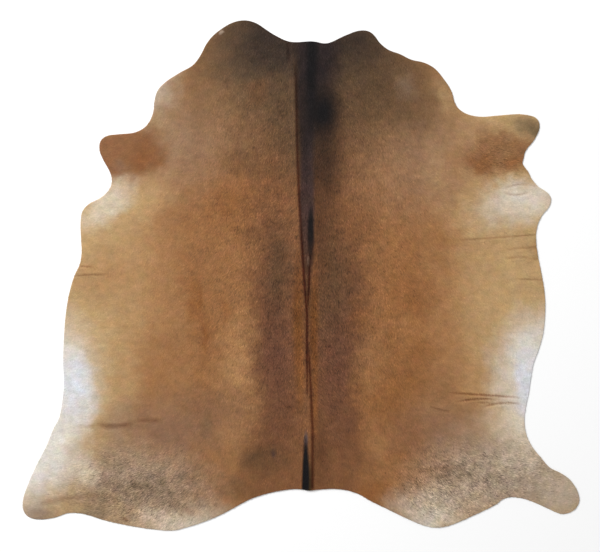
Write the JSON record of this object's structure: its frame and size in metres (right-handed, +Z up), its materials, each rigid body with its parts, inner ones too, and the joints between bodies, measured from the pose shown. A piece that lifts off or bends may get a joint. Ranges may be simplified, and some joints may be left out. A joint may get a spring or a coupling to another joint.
{
  "type": "hair-on cowhide rug",
  "caption": "Whole cow hide with the hair on, trimmed at the neck and legs, lying flat with the hair side up.",
  "frame": {"origin": "under the middle of the hide's bounding box, on the surface it lies on", "axes": "+Y from the tail root to the neck, +X to the right seen from above, +Z up out of the hair side"},
  "size_m": [2.2265, 2.0414, 0.0137],
  "materials": {
    "hair_coat": "short lying hair with a soft sheen, dark along the back and pale at the belly"
  },
  "bodies": {
    "root": {"hide": "hair_coat"}
  },
  "joints": []
}
